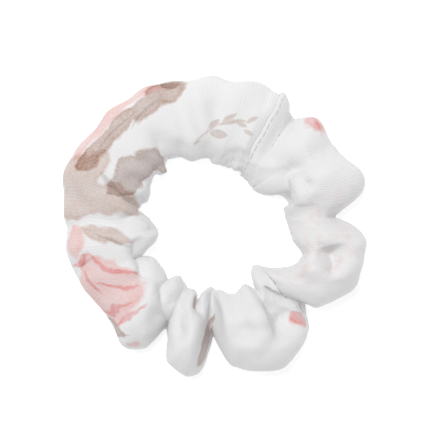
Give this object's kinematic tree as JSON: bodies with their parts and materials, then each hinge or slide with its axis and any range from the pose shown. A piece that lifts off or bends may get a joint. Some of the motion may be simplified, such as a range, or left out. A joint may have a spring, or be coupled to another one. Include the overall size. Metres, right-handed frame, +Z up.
{
  "type": "scrunchie",
  "caption": "Gathered ring of rib-knit cloth over a sewn loop of flat elastic, which ties up hair.",
  "frame": {"origin": "under the middle of the ring's box, on the plane that it lies on", "axes": "+Z up through the ring's hole, +X towards the wide puffs beside the hole, +Y towards the closing joint's side"},
  "size_m": [0.0948, 0.0931, 0.021],
  "materials": {
    "printed_rib_knit": "matte",
    "elastic": "matte",
    "sewing_thread": "satin"
  },
  "bodies": {
    "root": {"cover": "printed_rib_knit", "elastic_band": "elastic", "closing_seam_needle_thread": "sewing_thread", "closing_seam_bobbin_thread": "sewing_thread", "tube_seam_needle_thread": "sewing_thread", "tube_seam_bobbin_thread": "sewing_thread", "elastic_join_needle_thread": "sewing_thread", "elastic_join_bobbin_thread": "sewing_thread"}
  },
  "joints": []
}
